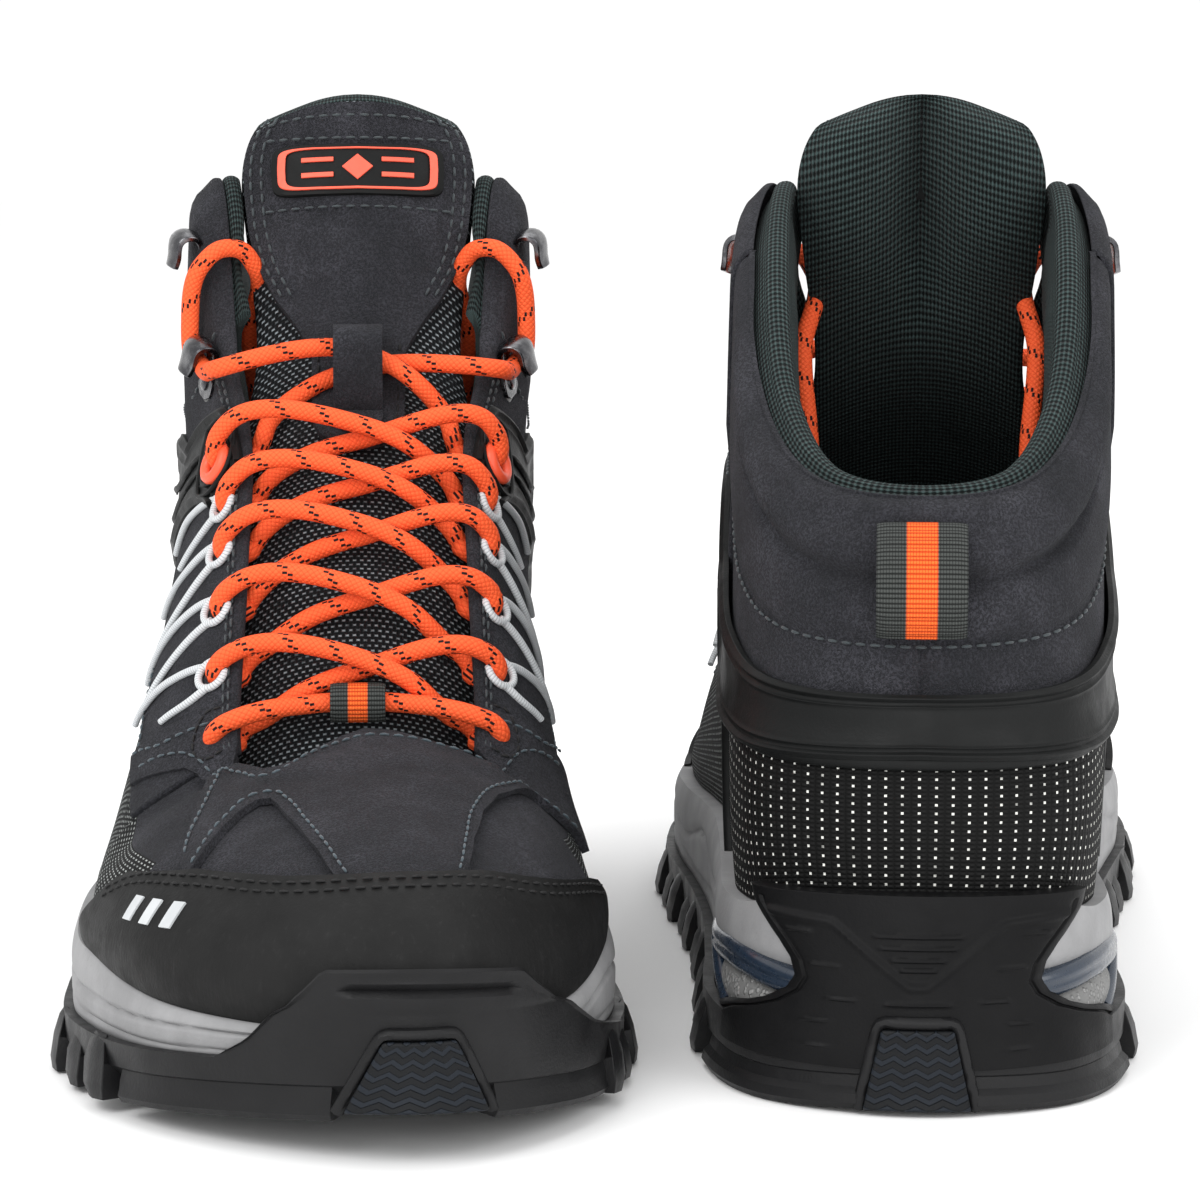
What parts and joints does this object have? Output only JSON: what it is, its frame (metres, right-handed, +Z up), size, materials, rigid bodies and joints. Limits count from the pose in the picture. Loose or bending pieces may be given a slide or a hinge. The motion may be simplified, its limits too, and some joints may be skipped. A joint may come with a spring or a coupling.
{
  "type": "pair of hiking boots",
  "caption": "Pair of mid-height lace-up hiking boots: lugged rubber outsole, foam midsole, suede and mesh upper, padded collar, and a padded tongue that folds forward.",
  "frame": {"origin": "on the ground, at the middle of the pair's bounding box", "axes": "+X across the pair, from the right boot to the left one; +Y towards the left boot's toe and the right boot's heel; +Z up"},
  "size_m": [0.2334, 0.3424, 0.187],
  "materials": {
    "black_rubber": "matte",
    "navy_rubber": "satin",
    "grey_foam": "matte foam",
    "suede": "napped suede",
    "mesh_fabric": "woven mesh",
    "padding": "knitted lining over foam",
    "stiffener": "fibre board",
    "webbing": "ribbed webbing",
    "lace": "braided cord",
    "gunmetal": "dark polished",
    "badge": "matte"
  },
  "bodies": {
    "right_boot": {"right_outsole": "black_rubber", "right_midsole": "grey_foam", "right_heel_stabiliser": "navy_rubber", "right_toe_plug": "navy_rubber", "right_heel_plug": "navy_rubber", "right_lasting_board": "stiffener", "right_footbed": "padding", "right_heel_panel": "mesh_fabric", "right_collar_panel": "suede", "right_quarter_lateral": "suede", "right_quarter_medial": "suede", "right_vamp": "suede", "right_heel_band": "black_rubber", "right_toe_cap": "black_rubber", "right_toe_puff": "stiffener", "right_heel_counter": "stiffener", "right_vamp_lining": "padding", "right_collar_padding": "padding", "right_tongue_lower": "mesh_fabric", "right_lace_keeper": "suede", "right_vamp_loop": "webbing", "right_pull_loop": "webbing", "right_hook_lower_lateral": "gunmetal", "right_hook_lower_medial": "gunmetal", "right_hook_upper_lateral": "gunmetal", "right_hook_upper_medial": "gunmetal", "right_lace": "lace"},
    "right_tongue": {"right_tongue_upper": "mesh_fabric", "right_tongue_cover": "suede", "right_tongue_badge": "badge"},
    "left_boot": {"left_outsole": "black_rubber", "left_midsole": "grey_foam", "left_heel_stabiliser": "navy_rubber", "left_toe_plug": "navy_rubber", "left_heel_plug": "navy_rubber", "left_lasting_board": "stiffener", "left_footbed": "padding", "left_heel_panel": "mesh_fabric", "left_collar_panel": "suede", "left_quarter_lateral": "suede", "left_quarter_medial": "suede", "left_vamp": "suede", "left_heel_band": "black_rubber", "left_toe_cap": "black_rubber", "left_toe_puff": "stiffener", "left_heel_counter": "stiffener", "left_vamp_lining": "padding", "left_collar_padding": "padding", "left_tongue_lower": "mesh_fabric", "left_lace_keeper": "suede", "left_vamp_loop": "webbing", "left_pull_loop": "webbing", "left_hook_lower_lateral": "gunmetal", "left_hook_lower_medial": "gunmetal", "left_hook_upper_lateral": "gunmetal", "left_hook_upper_medial": "gunmetal", "left_lace": "lace"},
    "left_tongue": {"left_tongue_upper": "mesh_fabric", "left_tongue_cover": "suede", "left_tongue_badge": "badge"}
  },
  "joints": [
    {"name": "left_boot_lift", "type": "slide", "parent": "right_boot", "child": "left_boot", "axis": [0, 0, 1], "range_m": [0, 0.25]},
    {"name": "right_tongue_fold", "type": "hinge", "parent": "right_boot", "child": "right_tongue", "pos_m": [-0.06257, -0.00083, 0.135], "axis": [0.9986, 0.0523, 0], "range_deg": [-8, 55], "stiffness_Nm_per_rad": 0.1},
    {"name": "left_tongue_fold", "type": "hinge", "parent": "left_boot", "child": "left_tongue", "pos_m": [0.0581, 0.00123, 0.135], "axis": [-0.9973, 0.0732, 0], "range_deg": [-8, 55], "stiffness_Nm_per_rad": 0.1}
  ]
}
